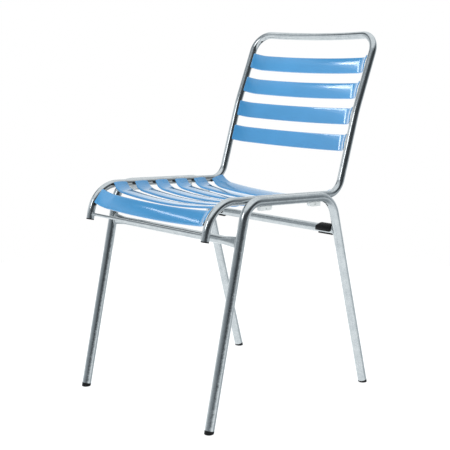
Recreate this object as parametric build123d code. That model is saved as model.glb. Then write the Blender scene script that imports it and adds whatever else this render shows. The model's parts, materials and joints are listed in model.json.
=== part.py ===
"""Stacking garden chair: galvanised bent-tube frame with dished slats for the seat and the back.

Millimetres. +Z is up, the front of the chair faces -Y, and +X is the sitter's left.
"""

import os
from math import cos, radians, sin, tan

from build123d import *

# Clearances
fit_gap = 0.3
glue_gap = 0.2

# Seat and back tube: one continuous hoop, placed from the floor point midway between the feet
hoop_diameter = 18.0
hoop_wall = 2.0
rail_spacing = 393.0
seat_height = 484.0
seat_tilt_angle = 2.1
seat_front_reach = 243.6
seat_rear_reach = 169.4
nose_length = 80.5
nose_angle = 11.7
nose_bend_radius = 74.0
rear_bend_radius = 45.0
back_recline_angle = 16.7
lower_back_length = 205.0
back_bend_angle = 5.1
back_bend_radius = 500.0
upper_back_length = 190.0
top_corner_radius = 46.0
top_sweep_angle = 7.0
top_bow_share = 0.97

# Leg frames: one inverted U a side, welded along the outside of each seat rail
leg_diameter = 21.3
leg_wall = 2.0
leg_run_drop = 1.5
front_foot_reach = 261.0
rear_foot_reach = 266.0
front_leg_angle = 11.9
rear_leg_angle = 16.7
front_leg_bend_radius = 45.0
rear_leg_bend_radius = 60.0

# Crossbars and tie rod
front_bar_diameter = 19.0
front_bar_height = 403.5
bar_wall = 2.0
flare_length = 36.0
flare_height = 27.0
flare_depth = 9.0
rear_bar_diameter = 20.0
rear_bar_height = 395.5
tie_rod_diameter = 7.0
tie_rod_inset = 11.0

# Slats: dished and slightly crowned strips with turned-down long edges
slat_width = 40.0
slat_thickness = 3.0
slat_crown = 1.8
slat_lip_depth = 5.5
slat_edge_radius = 2.0
slat_flange_angle = 50.0
slat_flange_length = 5.0
slat_flange_setback = 2.8
slat_flange_bend_radius = 45.0
slat_lip_setback = 11.5
slat_dish_angle = 7.0
front_slat_angle = 51.2
rail_slat_setback = 3.6
rail_slat_pitch = 64.6
rail_slat_count = 6
back_slat_rise = 89.6
back_slat_pitch = 65.6
back_slat_count = 4

# Saddles that carry the slat ends on the tube
saddle_top_inset = 2.0
saddle_end_inset = 4.0
saddle_lip = 3.0
saddle_wrap_angle = 15.0
saddle_overhang = 4.5
saddle_peg_diameter = 5.0
saddle_peg_reach = 2.5

# Plugs, glides, buffers and pads
plug_thickness = 2.5
plug_depth = 14.0
glide_height = 8.0
glide_depth = 18.0
glide_edge_radius = 1.5
buffer_length = 44.0
buffer_thickness = 3.0
buffer_leg_gap = 2.0
buffer_mouth_angle = 52.0
buffer_mouth_open_angle = 64.0
buffer_chamfer = 8.0
pad_length = 36.0
pad_depth = 8.5
pad_thickness = 10.0
pad_corner_radius = 6.0
pad_bend_gap = 1.0
pad_hole_diameter = 4.0
drain_hole_diameter = 6.0

# Places worked out from the sizes above
hoop_radius = hoop_diameter / 2
leg_radius = leg_diameter / 2
rail_x = rail_spacing / 2
tube_distance = hoop_radius + leg_radius + fit_gap
leg_x = rail_x + (tube_distance**2 - leg_run_drop**2) ** 0.5
upper_recline_angle = back_recline_angle + back_bend_angle


def step_from(point, angle, length):
    """A point in the side view, a length away along a direction tilted rearward from upright."""
    return Vector(0, point.Y + length * sin(radians(angle)), point.Z + length * cos(radians(angle)))


def at_side(point, x):
    """A side-view point moved out to the given X."""
    return Vector(x, point.Y, point.Z)


# Side view of the hoop: nose end, seat corners, back bend and top corner
seat_middle = Vector(0, 0, seat_height)
seat_front = step_from(seat_middle, 90 + seat_tilt_angle, -seat_front_reach)
seat_rear = step_from(seat_middle, 90 + seat_tilt_angle, seat_rear_reach)
nose_end = step_from(seat_front, nose_angle, -nose_length)
back_bend = step_from(seat_rear, back_recline_angle, lower_back_length)
back_top = step_from(back_bend, upper_recline_angle, upper_back_length)
top_middle = step_from(back_top, upper_recline_angle + 90, rail_x * tan(radians(top_sweep_angle)))
top_half_length = rail_x / cos(radians(top_sweep_angle))
top_bow_tangent = (top_half_length - top_corner_radius) * top_bow_share
top_bow_radius = top_bow_tangent / tan(radians(top_sweep_angle))

side_points = [nose_end, seat_front, seat_rear, back_bend, back_top]
side_radii = [nose_bend_radius, rear_bend_radius, back_bend_radius]
side_path = FilletPolyline(*side_points, radius=side_radii)
side_lengths = [edge.length for edge in side_path.edges()]
nose_bend_end = sum(side_lengths[:2])
rear_bend_end = sum(side_lengths[:4])


def hoop_path():
    """Centre line of the whole hoop, from the left nose over the top rail to the right nose."""
    left = [at_side(point, rail_x) for point in side_points]
    right = [at_side(point, -rail_x) for point in reversed(side_points)]
    radii = side_radii + [top_corner_radius]
    return FilletPolyline(*left, top_middle, *right, radius=radii + [top_bow_radius] + radii[::-1])


def leg_corner(reach, angle):
    """Where a leg's axis, rising from its foot, meets the axis of the leg frame's top run."""
    run_height = seat_height - leg_run_drop
    slope = tan(radians(seat_tilt_angle))
    height = (run_height - slope * reach) / (1 + slope * tan(radians(angle)))
    return Vector(0, reach + height * tan(radians(angle)), height)


front_foot = Vector(0, -front_foot_reach, 0)
rear_foot = Vector(0, rear_foot_reach, 0)
front_corner = leg_corner(-front_foot_reach, front_leg_angle)
rear_corner = leg_corner(rear_foot_reach, -rear_leg_angle)
front_tube_end = step_from(front_foot, front_leg_angle, glide_height)
rear_tube_end = step_from(rear_foot, -rear_leg_angle, glide_height)


def leg_path(x):
    """Centre line of one leg frame, from the front foot over the top run to the rear foot."""
    points = [front_tube_end, front_corner, rear_corner, rear_tube_end]
    radii = [front_leg_bend_radius, rear_leg_bend_radius]
    return FilletPolyline(*[at_side(point, x) for point in points], radius=radii)


def sweep_round(path, radius):
    """A solid round bar along a path."""
    start = Plane(origin=path @ 0, z_dir=path % 0)
    return sweep(start * Circle(radius), path=path)


def rod(start, end, radius):
    """A straight round bar between two points."""
    axis = Plane(origin=start, z_dir=end - start)
    return axis * Cylinder(radius, (end - start).length, align=(Align.CENTER, Align.CENTER, Align.MIN))


def leg_axis_point(reach, angle, height):
    """The point on a leg's axis at the given height, in the side view."""
    return Vector(0, reach + height * tan(radians(angle)), height)


def mirrored(shape):
    """The same shape on the other side of the chair."""
    return mirror(shape, about=Plane.YZ)


hoop_line = hoop_path()
left_leg_line = leg_path(leg_x)
hoop_clearance = sweep_round(hoop_line, hoop_radius + fit_gap)
left_leg_clearance = sweep_round(left_leg_line, leg_radius + fit_gap)
leg_clearances = [left_leg_clearance, mirrored(left_leg_clearance)]


def slat_station(station):
    """Working plane of a slat: X across the chair, Y along the tube, Z away from the slat's back."""
    along = side_path.tangent_at(station, position_mode=PositionMode.LENGTH)
    centre = side_path.position_at(station, position_mode=PositionMode.LENGTH)
    return Plane(origin=centre, x_dir=Vector(1, 0, 0), z_dir=Vector(1, 0, 0).cross(along))


front_slat_station = nose_bend_end - nose_bend_radius * radians(front_slat_angle)
rail_stations = [nose_bend_end + rail_slat_setback + rail_slat_pitch * i for i in range(rail_slat_count)]
seat_stations = [front_slat_station] + rail_stations
back_stations = [rear_bend_end + back_slat_rise + back_slat_pitch * i for i in range(back_slat_count)]

# Slat end, in the slat's working plane: the flange lies against the tube at the flange angle
flange_out = Vector(-sin(radians(slat_flange_angle)), 0, cos(radians(slat_flange_angle)))
flange_in = Vector(-cos(radians(slat_flange_angle)), 0, -sin(radians(slat_flange_angle)))
tube_centre = Vector(rail_x, 0, 0)
flange_touch = tube_centre + flange_out * (hoop_radius + fit_gap)


def slat_path():
    """Middle line of the slat's thickness from end to end: flange, bend, shallow dish, bend, flange."""
    end = flange_touch + flange_out * (slat_thickness / 2) + flange_in * slat_flange_setback
    fold = end + flange_in * slat_flange_length
    bend_centre = fold + flange_out * slat_flange_bend_radius
    steep = radians(slat_flange_angle)
    shallow = radians(slat_dish_angle)

    def on_bend(angle):
        return bend_centre + Vector(sin(angle), 0, -cos(angle)) * slat_flange_bend_radius

    half_bend = on_bend((steep + shallow) / 2)
    dish_end = on_bend(shallow)
    dish_bottom = Vector(0, 0, dish_end.Z - dish_end.X * tan(shallow / 2))
    left = [end, fold, half_bend, dish_end]
    right = [Vector(-point.X, 0, point.Z) for point in left]
    return Wire(
        [
            Edge.make_line(left[0], left[1]),
            Edge.make_three_point_arc(left[1], left[2], left[3]),
            Edge.make_three_point_arc(left[3], dish_bottom, right[3]),
            Edge.make_three_point_arc(right[3], right[2], right[1]),
            Edge.make_line(right[1], right[0]),
        ]
    )


def crowned_outline(width, top, bottom):
    """The outline of a slat's section: a crowned top between two upright sides."""
    side = width / 2
    edge = top - slat_crown
    sides = Polyline((-side, edge), (-side, bottom), (side, bottom), (side, edge))
    crown = ThreePointArc((side, edge), (0, top), (-side, edge))
    return make_face([*sides.edges(), *crown.edges()])


def slat_blank():
    """One slat in its working plane: a shallow channel whose lips stop short of the tubes."""
    path = slat_path()
    start = Plane(origin=path @ 0, x_dir=Vector(0, -1, 0), z_dir=path % 0)
    top = (slat_thickness + slat_crown) / 2
    outer = crowned_outline(slat_width, top, slat_thickness / 2 - slat_lip_depth)
    outer = fillet(outer.vertices(), slat_edge_radius)
    inner = crowned_outline(slat_width - 2 * slat_thickness, top - slat_thickness, -slat_lip_depth)
    channel = sweep(start * (outer - inner), path=path)
    lip_end = Plane(origin=flange_touch, x_dir=flange_in, z_dir=flange_out)
    notch_length = 2 * (slat_flange_setback + slat_lip_setback)
    notch = lip_end * Box(
        notch_length, 2 * slat_width, 2 * slat_lip_depth, align=(Align.CENTER, Align.CENTER, Align.MAX)
    )
    return channel - notch - mirrored(notch)


def saddle_blank(overhang):
    """The left saddle in the slat's working plane, before the tube is cut away from under it."""
    seat_line = flange_touch - flange_out * glue_gap
    top = seat_line + flange_in * (slat_flange_setback + saddle_top_inset)
    bottom = seat_line + flange_in * (slat_flange_setback + slat_lip_setback - saddle_end_inset)
    wrap = radians(saddle_wrap_angle)
    wrap_out = Vector(-cos(wrap), 0, -sin(wrap))
    toe = tube_centre + wrap_out * (hoop_radius + saddle_lip)
    outline = make_face(Polyline(top, bottom, toe, tube_centre, close=True))
    front_end = Pos(0, -slat_width / 2 - overhang, 0)
    return extrude(front_end * outline, amount=slat_width + overhang, dir=(0, 1, 0))


def saddle_peg():
    """The peg that snaps a saddle into the inner wall of the tube, in the slat's working plane."""
    inner_end = tube_centre - Vector(hoop_radius - hoop_wall - saddle_peg_reach, 0, 0)
    outer_end = tube_centre - Vector(hoop_radius + saddle_lip / 2, 0, 0)
    return rod(inner_end, outer_end, saddle_peg_diameter / 2)


def peg_hole():
    """The hole for a saddle peg in the tube's inner wall, in the slat's working plane."""
    outer_end = tube_centre - Vector(2 * hoop_radius, 0, 0)
    return rod(tube_centre, outer_end, saddle_peg_diameter / 2 + fit_gap)


def both_sides(shapes):
    """Each shape and its mirror image."""
    return [copy for shape in shapes for copy in (shape, mirrored(shape))]


def make_slats(stations):
    """The slats at the given stations along the tube."""
    blank = slat_blank()
    return [slat_station(station) * blank - hoop_clearance for station in stations]


def make_saddles(stations, overhang):
    """The saddles at both ends of the slats at the given stations."""
    blank = saddle_blank(overhang)
    peg = saddle_peg()
    saddles = []
    for station in stations:
        plane = slat_station(station)
        saddles.append((plane * blank - hoop_clearance) + plane * peg)
    return Compound([saddle.solid() for saddle in both_sides(saddles)])


def drain_hole(bend, tube_diameter):
    """The drain hole through the inner wall of a tube, in the middle of a bend."""
    middle = bend @ 0.5
    inward = (bend.arc_center - middle).normalized()
    return rod(middle, middle + inward * tube_diameter, drain_hole_diameter / 2)


def make_hoop():
    """The hoop: a bent tube with holes for the saddle pegs and a drain hole inside each top corner."""
    bore = sweep_round(hoop_line, hoop_radius - hoop_wall)
    tube = sweep_round(hoop_line, hoop_radius) - bore
    holes = [slat_station(station) * peg_hole() for station in seat_stations + back_stations]
    _, _, _, top_corner, *_ = hoop_line.edges()[1::2]
    return tube - both_sides(holes + [drain_hole(top_corner, hoop_diameter)])


def make_leg_frame():
    """The left leg frame: a bent tube with a drain hole inside its rear bend."""
    tube = sweep_round(left_leg_line, leg_radius) - sweep_round(left_leg_line, leg_radius - leg_wall)
    _, rear_bend = left_leg_line.edges()[1::2]
    return tube - drain_hole(rear_bend, leg_diameter)


def flared_bar(middle, angle, radius, height, depth):
    """A bar across the chair whose ends are pressed to upright ovals, before it is cut to the legs."""
    upright = step_from(Vector(0, 0, 0), angle, 1)
    flare_start = leg_x - leg_radius - flare_length
    tube = rod(at_side(middle, -flare_start), at_side(middle, flare_start), radius)
    round_end = Plane(origin=at_side(middle, flare_start), x_dir=upright, z_dir=Vector(1, 0, 0))
    oval_end = Plane(origin=at_side(middle, leg_x), x_dir=upright, z_dir=Vector(1, 0, 0))
    flare = loft([round_end * Circle(radius), oval_end * Ellipse(height / 2, depth / 2)], ruled=True)
    return tube + flare + mirrored(flare)


def make_front_bar():
    """The front crossbar: a tube with flared ends, cut to the front legs."""
    middle = leg_axis_point(-front_foot_reach, front_leg_angle, front_bar_height)
    radius = front_bar_diameter / 2
    outside = flared_bar(middle, front_leg_angle, radius, flare_height, flare_depth)
    bore_height = flare_height - 2 * bar_wall
    bore_depth = flare_depth - 2 * bar_wall
    bore = flared_bar(middle, front_leg_angle, radius - bar_wall, bore_height, bore_depth)
    return outside - bore - leg_clearances


def make_rear_bar():
    """The rear crossbar: a straight tube cut to the rear legs."""
    middle = leg_axis_point(rear_foot_reach, -rear_leg_angle, rear_bar_height)
    ends = (at_side(middle, -leg_x), at_side(middle, leg_x))
    radius = rear_bar_diameter / 2
    return rod(*ends, radius) - rod(*ends, radius - bar_wall) - leg_clearances


def make_tie_rod():
    """The thin rod between the noses, cut to the nose tubes."""
    middle = step_from(nose_end, nose_angle, tie_rod_inset)
    bar = rod(at_side(middle, -rail_x), at_side(middle, rail_x), tie_rod_diameter / 2)
    return bar - hoop_clearance


def end_plug(tube_end, outward, head_radius, head_length, bore_radius, depth):
    """A push-in plug: a head over the end of a tube and a spigot in its bore."""
    head_top = tube_end + outward * glue_gap
    spigot_end = tube_end - outward * depth
    head = rod(head_top, head_top + outward * head_length, head_radius)
    spigot = rod(spigot_end, head_top, bore_radius - fit_gap)
    return head + spigot


def make_nose_plug():
    """The thin plug in the end of the left nose."""
    outward = step_from(Vector(0, 0, 0), nose_angle, -1)
    tube_end = at_side(nose_end, rail_x)
    bore_radius = hoop_radius - hoop_wall
    return end_plug(tube_end, outward, hoop_radius, plug_thickness, bore_radius, plug_depth)


def make_glide(tube_end, angle):
    """A foot glide in the end of a left leg, cut level at the floor with a rounded rim."""
    outward = step_from(Vector(0, 0, 0), angle, -1)
    head_length = glide_height + leg_diameter
    bore_radius = leg_radius - leg_wall
    plug = end_plug(at_side(tube_end, leg_x), outward, leg_radius, head_length, bore_radius, glide_depth)
    glide = split(plug, bisect_by=Plane.XY, keep=Keep.TOP)
    rim = glide.faces().sort_by(Axis.Z)[0].edges()
    return fillet(rim, glide_edge_radius)


def make_buffer():
    """A stacking buffer clipped round the left end of the rear crossbar, open to the front and below."""
    middle = leg_axis_point(rear_foot_reach, -rear_leg_angle, rear_bar_height)
    outer_x = leg_x - leg_radius - buffer_leg_gap
    inner_x = outer_x - buffer_length
    inner_radius = rear_bar_diameter / 2 + fit_gap
    outer_radius = inner_radius + buffer_thickness
    ends = (at_side(middle, inner_x), at_side(middle, outer_x))
    ring = rod(*ends, outer_radius) - rod(*ends, inner_radius)
    mouth_reach = 2 * outer_radius
    mouth_turn = -90 - buffer_mouth_angle
    mouth_lower = step_from(middle, mouth_turn - buffer_mouth_open_angle / 2, mouth_reach)
    mouth_upper = step_from(middle, mouth_turn + buffer_mouth_open_angle / 2, mouth_reach)
    mouth_points = [at_side(point, inner_x) for point in (middle, mouth_lower, mouth_upper)]
    mouth = extrude(make_face(Polyline(*mouth_points, close=True)), amount=buffer_length, dir=(1, 0, 0))
    corner = at_side(middle, inner_x) + Vector(0, 0, outer_radius)
    across = corner + Vector(buffer_chamfer, 0, 0)
    below = corner - Vector(0, 0, buffer_chamfer)
    chamfer_outline = make_face(Polyline(corner, across, below, close=True))
    chamfer_cut = extrude(chamfer_outline, amount=outer_radius, dir=(0, 1, 0), both=True)
    return ring - mouth - chamfer_cut


def make_pad(bend_end, towards_middle):
    """A stacking pad under the left leg frame's top run, starting where a bend ends."""
    below = Vector(1, 0, 0).cross(towards_middle)
    if below.Z > 0:
        below = below * -1
    start = bend_end + towards_middle * pad_bend_gap
    frame = Plane(origin=start, x_dir=towards_middle, z_dir=towards_middle.cross(below))
    height = leg_radius + pad_depth
    outline = Pos(pad_length / 2, height / 2) * Rectangle(pad_length, height)
    corner = outline.vertices().sort_by(Axis.Y)[-2:].sort_by(Axis.X)[-1]
    outline = fillet(corner, pad_corner_radius)
    block = extrude(outline, amount=pad_thickness / 2, both=True)
    hole = Pos(pad_length / 2, height - pad_depth / 2) * Cylinder(pad_hole_diameter / 2, 2 * pad_thickness)
    return frame * (block - hole) - left_leg_clearance


def make_parts():
    """Every piece of the chair by its node name."""
    top_run = left_leg_line.edges()[2]
    run_front = top_run @ 0
    run_rear = top_run @ 1
    rearward = (run_rear - run_front).normalized()
    left_parts = {
        "leg_frame": make_leg_frame(),
        "nose_plug": make_nose_plug(),
        "foot_glide_front": make_glide(front_tube_end, front_leg_angle),
        "foot_glide_rear": make_glide(rear_tube_end, -rear_leg_angle),
        "stacking_buffer": make_buffer(),
        "stacking_pad_front": make_pad(run_front, rearward),
        "stacking_pad_rear": make_pad(run_rear, rearward * -1),
    }
    parts = {
        "seat_back_frame": make_hoop(),
        "front_crossbar": make_front_bar(),
        "rear_crossbar": make_rear_bar(),
        "front_tie_rod": make_tie_rod(),
        "seat_slat_saddles": make_saddles(seat_stations, saddle_overhang),
        "back_slat_saddles": make_saddles(back_stations, 0),
    }
    for number, slat in enumerate(make_slats(seat_stations), start=1):
        parts[f"seat_slat_{number}"] = slat
    for number, slat in enumerate(make_slats(back_stations), start=1):
        parts[f"back_slat_{number}"] = slat
    for name, shape in left_parts.items():
        parts[f"{name}_left"] = shape
        parts[f"{name}_right"] = mirrored(shape)
    return parts


def main():
    """Move the chair so that its origin is on the floor below its middle, and write each piece."""
    parts = make_parts()
    boxes = [shape.bounding_box() for shape in parts.values()]
    front = min(box.min.Y for box in boxes)
    rear = max(box.max.Y for box in boxes)
    to_origin = Pos(0, -(front + rear) / 2, 0)
    os.makedirs("parts", exist_ok=True)
    for name, shape in parts.items():
        export_step(to_origin * shape, f"parts/{name}.step")


main()
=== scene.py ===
"""Stacking garden chair: the visible model, dressed over the chair's solid model."""

import json
from collections import namedtuple
from math import ceil, cos, pi, radians, sin, sqrt, tan

import bmesh
import bpy
from mathutils import Matrix, Vector, noise

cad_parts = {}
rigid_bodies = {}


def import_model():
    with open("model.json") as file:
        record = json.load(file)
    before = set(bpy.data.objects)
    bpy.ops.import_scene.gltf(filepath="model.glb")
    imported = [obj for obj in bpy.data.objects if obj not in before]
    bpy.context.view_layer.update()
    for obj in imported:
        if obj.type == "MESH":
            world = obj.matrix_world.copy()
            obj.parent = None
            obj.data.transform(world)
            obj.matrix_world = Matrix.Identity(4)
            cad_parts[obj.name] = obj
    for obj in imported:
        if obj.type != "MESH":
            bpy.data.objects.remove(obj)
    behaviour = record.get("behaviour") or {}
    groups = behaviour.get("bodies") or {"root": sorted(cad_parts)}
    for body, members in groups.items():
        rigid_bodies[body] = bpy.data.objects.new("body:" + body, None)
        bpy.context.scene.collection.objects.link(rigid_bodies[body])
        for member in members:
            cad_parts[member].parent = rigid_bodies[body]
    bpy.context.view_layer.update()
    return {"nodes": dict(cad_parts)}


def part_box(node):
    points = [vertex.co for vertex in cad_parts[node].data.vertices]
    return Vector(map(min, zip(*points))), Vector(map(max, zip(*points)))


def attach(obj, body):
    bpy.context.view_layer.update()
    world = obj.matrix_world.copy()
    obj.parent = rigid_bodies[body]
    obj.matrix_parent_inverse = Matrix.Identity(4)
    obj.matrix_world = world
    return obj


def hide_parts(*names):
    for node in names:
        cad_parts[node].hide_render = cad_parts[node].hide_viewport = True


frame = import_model()

bl_info = {
    "name": "Garden chair",
    "version": (1, 0, 0),
    "blender": (4, 5, 0),
    "location": "3D View > Sidebar > Chair",
    "description": "Builds a stacking garden chair with a galvanised tube frame and glossy slats",
    "category": "Object",
}

# Directions and sides
ROOT = "root"
SIDES = {"left": 1, "right": -1}
ACROSS = Vector((1, 0, 0))
UP = Vector((0, 0, 1))

# Fineness of the meshes
FINE_SPACING = 0.0005
TUBE_SPACING = 0.003
BEAD_SPACING = 0.0005
TUBE_SEGMENTS = 40
BEAD_SEGMENTS = 12
DRILL_SEGMENTS = 24
EDGE_STEPS = 6
WALL_STEPS = 4
CUT_ROUNDS = 4
CREASE_ANGLE = radians(38)

# Small unevenness of the tubes and beads
ZINC_WAVE = 0.00007
ZINC_WAVE_SCALE = 70
BEND_FLATTENING = 0.025
THIN_WELD_SHARE = 0.6
TAPER_END = 0.08

# Limits of the small roundings
LEAST_LIP = 0.00002
LARGEST_EDGE_SHARE = 0.85
FOOT_SHARE_OF_WALL = 0.3
FOOT_SHARE_OF_SIDE = 0.45
BEVEL_SHARE_OF_RIM = 0.2

# Tints of the room, and the camera's sensor in millimetres
DIM_TINT = (0.84, 0.96, 1.05, 1)
BRIGHT_TINT = (0.96, 0.995, 1.01, 1)
WHITE = (1, 1, 1, 1)
SENSOR_WIDTH = 36

Lobe = namedtuple("Lobe", "towards start full brightness")
Lamp = namedtuple("Lamp", "name place width height lit")


def amount(default, name, description, **settings):
    """A number property."""
    return bpy.props.FloatProperty(name=name, description=description, default=default, **settings)


def millimetres(default, name, description):
    """A length property with its default in millimetres."""
    return amount(default / 1000, name, description, unit="LENGTH", precision=4)


def degrees(default, name, description):
    """An angle property with its default in degrees."""
    return amount(radians(default), name, description, subtype="ANGLE")


def share(default, name, description):
    """A property between nothing and all."""
    return amount(default, name, description, min=0, max=1, subtype="FACTOR")


def watts(default, name, description):
    """A property for the power of a lamp."""
    return amount(default, name, description, unit="POWER")


def whole(default, name, description):
    """A property that counts things."""
    return bpy.props.IntProperty(name=name, description=description, default=default)


def colour(default, name, description):
    """A colour property."""
    return bpy.props.FloatVectorProperty(
        name=name, description=description, default=default, size=3, min=0, max=1, subtype="COLOR"
    )


class ChairTubes(bpy.types.PropertyGroup):
    """Sizes of the bent tubes, the crossbars and the tie rod."""

    hoop_diameter: millimetres(18, "Seat tube", "Outside diameter of the seat and back tube")
    rail_spacing: millimetres(393, "Rail spacing", "Distance between the axes of the two seat rails")
    seat_height: millimetres(484, "Seat height", "Height of the rail axis midway between the feet")
    seat_tilt: degrees(2.1, "Seat tilt", "Fall of the seat towards the back")
    seat_front_reach: millimetres(243.6, "Seat front", "Rail length in front of the middle of the feet")
    seat_rear_reach: millimetres(169.4, "Seat rear", "Rail length behind the middle of the feet")
    nose_length: millimetres(80.5, "Nose length", "Length of the turned-down front end")
    nose_angle: degrees(11.7, "Nose angle", "Lean of the turned-down front end")
    nose_bend_radius: millimetres(74, "Nose bend", "Bend radius at the front of the seat")
    rear_bend_radius: millimetres(45, "Rear bend", "Bend radius between seat and back")
    back_recline: degrees(16.7, "Recline", "Lean of the lower back")
    lower_back_length: millimetres(205, "Lower back", "Length of the back below its slight bend")
    back_bend: degrees(5.1, "Back bend", "Slight bend halfway up the back")
    back_bend_radius: millimetres(500, "Back bend radius", "Radius of the slight bend in the back")
    upper_back_length: millimetres(190, "Upper back", "Length of the back above its slight bend")
    top_corner_radius: millimetres(46, "Top corner", "Bend radius at the top corners")
    top_sweep: degrees(7, "Top sweep", "Rearward sweep of each half of the top rail")
    top_bow: share(0.97, "Top bow", "Share of the top rail that is bowed")
    leg_diameter: millimetres(21.3, "Leg tube", "Outside diameter of the leg tubes")
    leg_run_drop: millimetres(1.5, "Leg run drop", "How far the leg frames lie below the rails")
    front_foot_reach: millimetres(261, "Front feet", "Distance of the front feet from their middle")
    rear_foot_reach: millimetres(266, "Rear feet", "Distance of the rear feet from their middle")
    front_leg_angle: degrees(11.9, "Front leg lean", "Lean of the front legs")
    rear_leg_angle: degrees(16.7, "Rear leg lean", "Lean of the rear legs")
    front_leg_bend_radius: millimetres(45, "Front leg bend", "Bend radius at the top of the front legs")
    rear_leg_bend_radius: millimetres(60, "Rear leg bend", "Bend radius at the top of the rear legs")
    front_bar_diameter: millimetres(19, "Front bar", "Diameter of the front crossbar")
    front_bar_height: millimetres(403.5, "Front bar height", "Height of the front crossbar's axis")
    flare_length: millimetres(36, "Flare length", "Length of the front crossbar's pressed ends")
    flare_height: millimetres(27, "Flare height", "Height of the pressed ends at the legs")
    flare_depth: millimetres(9, "Flare depth", "Depth of the pressed ends at the legs")
    rear_bar_diameter: millimetres(20, "Rear bar", "Diameter of the rear crossbar")
    rear_bar_height: millimetres(395.5, "Rear bar height", "Height of the rear crossbar's axis")
    tie_rod_diameter: millimetres(7, "Tie rod", "Diameter of the rod between the noses")
    tie_rod_inset: millimetres(11, "Tie rod inset", "Distance of the rod from the nose ends")
    drain_diameter: millimetres(6, "Drain hole", "Diameter of the drain holes")
    weld_size: millimetres(1.9, "Weld bead", "Radius of the weld beads at the crossbars")
    joint_gap: millimetres(0.3, "Joint gap", "Gap between tubes before welding")


class ChairSlats(bpy.types.PropertyGroup):
    """Sizes and places of the slats."""

    width: millimetres(40, "Width", "Width of a slat")
    thickness: millimetres(3, "Thickness", "Thickness of a slat")
    crown: millimetres(1.8, "Crown", "Rise of a slat's middle above its long edges")
    lip_depth: millimetres(5.5, "Lip depth", "Depth of a slat over its turned-down edges")
    edge_radius: millimetres(2, "Edge radius", "Rounding of the long edges")
    end_radius: millimetres(3.5, "End corners", "Rounding of the corners at the slat's ends")
    end_rounding: millimetres(0.9, "End rounding", "Rounding of the cut ends")
    flange_angle: degrees(50, "End angle", "Slope of the slat's ends")
    flange_length: millimetres(5, "End length", "Length of the slat's sloping ends")
    flange_setback: millimetres(2.8, "End setback", "Distance of the slat's end from the tube's shoulder")
    flange_bend_radius: millimetres(45, "End bend", "Bend radius next to the sloping ends")
    lip_setback: millimetres(11.5, "Lip setback", "Length of the ends without turned-down edges")
    dish_angle: degrees(7, "Dish", "Slope of the dished middle where the end bends begin")
    front_angle: degrees(51.2, "Front slat", "Place of the first slat round the nose bend")
    rail_setback: millimetres(3.6, "Second slat", "Distance of the second slat behind the nose bend")
    rail_pitch: millimetres(64.6, "Seat pitch", "Distance between the seat's slats along the tube")
    rail_count: whole(6, "Rail slats", "Slats behind the nose bend")
    back_rise: millimetres(89.6, "Lowest back slat", "Distance of the lowest back slat above the rear bend")
    back_pitch: millimetres(65.6, "Back pitch", "Distance between the back's slats along the tube")
    back_count: whole(4, "Back slats", "Slats in the back")


class ChairTrim(bpy.types.PropertyGroup):
    """Sizes of the plastic caps, glides and buffers."""

    plug_thickness: millimetres(2.5, "Nose cap", "Thickness of the caps on the nose ends")
    plug_crown: millimetres(0.8, "Nose cap edge", "Rounding of the nose caps")
    seat_gap: millimetres(0.2, "Seating gap", "Gap between a cap and its tube")
    glide_height: millimetres(8, "Glide height", "Height of a foot glide along the leg")
    glide_rim: millimetres(2, "Glide rim", "Rounding of a foot glide's rim")
    buffer_length: millimetres(44, "Buffer length", "Length of a stacking buffer")
    buffer_thickness: millimetres(3, "Buffer wall", "Wall of a stacking buffer")
    buffer_leg_gap: millimetres(2, "Buffer gap", "Distance of a buffer from the leg")
    buffer_mouth: degrees(52, "Buffer mouth", "Direction of the buffer's mouth below the front")
    buffer_opening: degrees(64, "Buffer opening", "Opening of the buffer's mouth")
    buffer_chamfer: millimetres(8, "Buffer chamfer", "Sloping cut on the buffer's inner end")
    buffer_rounding: millimetres(0.8, "Buffer rounding", "Rounding of the buffer's edges")


class ChairFinish(bpy.types.PropertyGroup):
    """Colours of the chair, and the painted shade in its drain holes."""

    slat_colour: colour((0.078, 0.328, 0.64), "Slats", "Colour of the slats")
    zinc_light: colour((0.60, 0.628, 0.64), "Zinc, light", "Light patches of the galvanised tubes")
    zinc_dark: colour((0.44, 0.475, 0.495), "Zinc, dark", "Dark patches of the galvanised tubes")
    black_colour: colour((0.004, 0.004, 0.0045), "Black", "Colour of the caps, glides and buffers")
    grey_colour: colour((0.66, 0.69, 0.69), "Grey", "Colour of the stacking pads")
    # Painted shade: these two dark tones inside the drain holes stand in for the shade that falls in them
    soot_dark: colour((0.01, 0.01, 0.011), "Drain, dark", "Dark patches inside the drain holes")
    soot_light: colour((0.05, 0.05, 0.055), "Drain, light", "Light patches inside the drain holes")


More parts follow.
